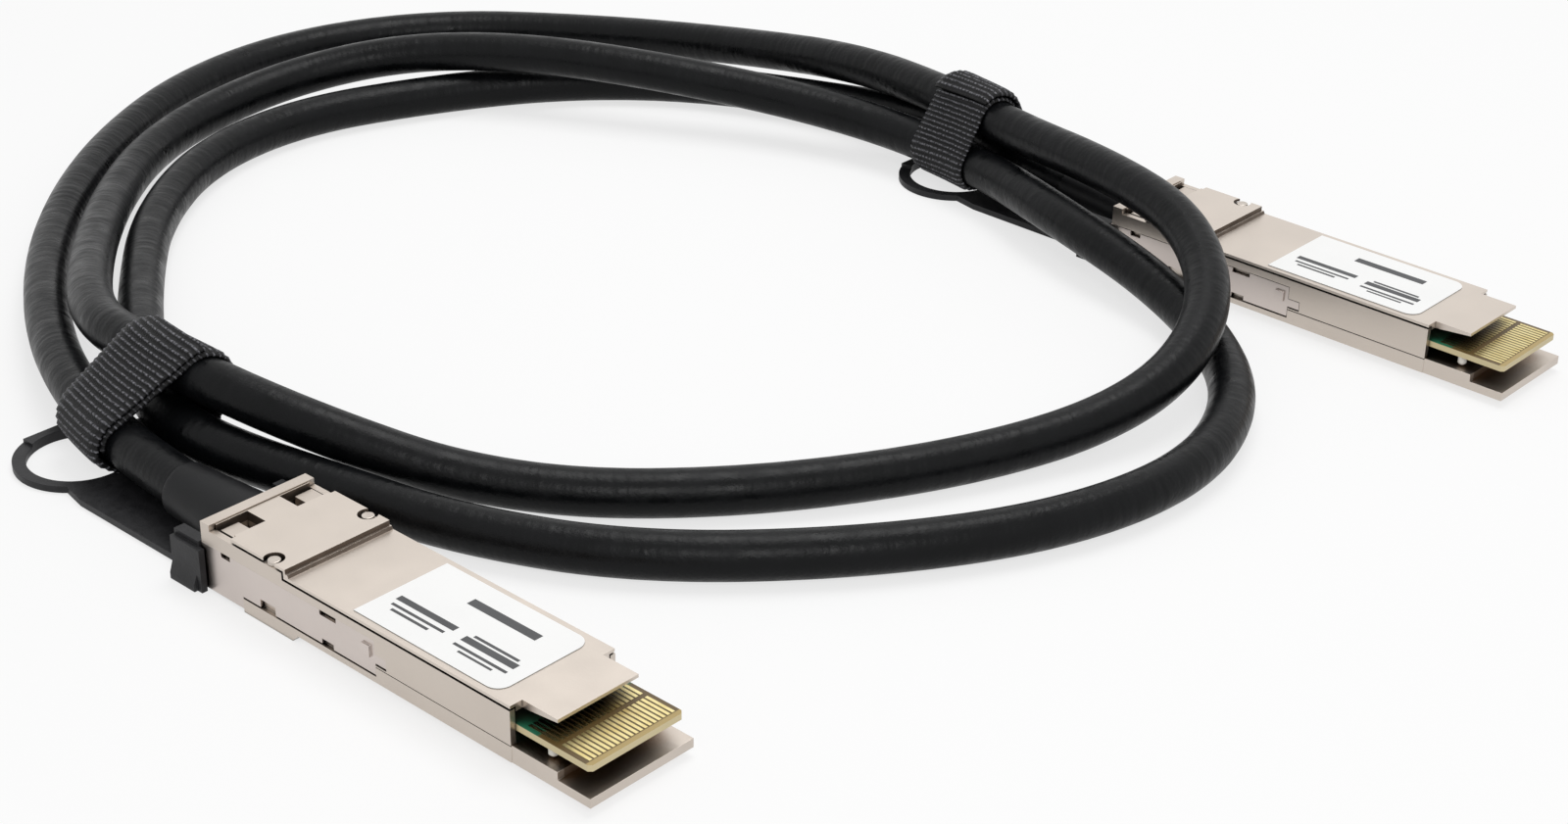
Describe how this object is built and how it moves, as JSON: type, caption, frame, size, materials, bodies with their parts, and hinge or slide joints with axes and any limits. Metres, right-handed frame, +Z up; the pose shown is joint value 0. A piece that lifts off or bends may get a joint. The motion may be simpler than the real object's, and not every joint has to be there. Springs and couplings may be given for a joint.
{
  "type": "direct attach copper cable",
  "caption": "Round black network cable, coiled and tied with hook-and-loop straps, with a die-cast pluggable shell, sliding latch and finger-ring pull tab at each end.",
  "frame": {"origin": "on the surface that the cable lies on, under the middle of plug A's head (the first end)", "axes": "+Z up; +X along plug A towards its contacts, so it goes into its socket along +X; +Y from plug A towards plug B"},
  "size_m": [0.2539, 0.1964, 0.0215],
  "materials": {
    "zinc_shell": "nickel-plated zinc casting, fine satin",
    "latch_steel": "stamped stainless strip, satin",
    "spring_steel": "plain",
    "pin_metal": "staked, satin",
    "tab_plastic": "moulded, fine grain",
    "circuit_board": "solder mask over glass laminate",
    "gold": "gold plate, bright",
    "white_nylon": "moulded",
    "label_film": "satin film, blank",
    "ferrule_metal": "crimped",
    "block_plastic": "moulded",
    "boot_rubber": "semi-matte",
    "jacket": "PVC jacket, semi-gloss, fine wrinkles",
    "strap_cloth": "hook-and-loop tape, napped"
  },
  "bodies": {
    "cable_and_shells": {"lower_tray_a": "zinc_shell", "side_frame_a": "zinc_shell", "top_cover_a": "zinc_shell", "cover_pins_a": "pin_metal", "return_springs_a": "spring_steel", "paddle_card_a": "circuit_board", "contact_pads_a": "gold", "card_peg_a": "white_nylon", "label_a": "label_film", "crimp_ferrule_a": "ferrule_metal", "wire_block_a": "block_plastic", "strain_relief_a": "boot_rubber", "lower_tray_b": "zinc_shell", "side_frame_b": "zinc_shell", "top_cover_b": "zinc_shell", "cover_pins_b": "pin_metal", "return_springs_b": "spring_steel", "paddle_card_b": "circuit_board", "contact_pads_b": "gold", "card_peg_b": "white_nylon", "label_b": "label_film", "crimp_ferrule_b": "ferrule_metal", "wire_block_b": "block_plastic", "strain_relief_b": "boot_rubber", "cable": "jacket", "hook_loop_strap_a": "strap_cloth", "hook_loop_strap_b": "strap_cloth"},
    "latch_slide_a": {"latch_bracket_a": "latch_steel", "pull_tab_a": "tab_plastic"},
    "latch_slide_b": {"latch_bracket_b": "latch_steel", "pull_tab_b": "tab_plastic"}
  },
  "joints": [
    {"name": "pull_latch_a", "type": "slide", "parent": "cable_and_shells", "child": "latch_slide_a", "axis": [-1, 0, 0], "range_m": [0, 0.0025], "stiffness_N_per_m": 1500, "springref_m": -0.001, "deforming": ["return_springs_a"]},
    {"name": "pull_latch_b", "type": "slide", "parent": "cable_and_shells", "child": "latch_slide_b", "axis": [-1, 0, 0], "range_m": [0, 0.0025], "stiffness_N_per_m": 1500, "springref_m": -0.001, "deforming": ["return_springs_b"]}
  ]
}
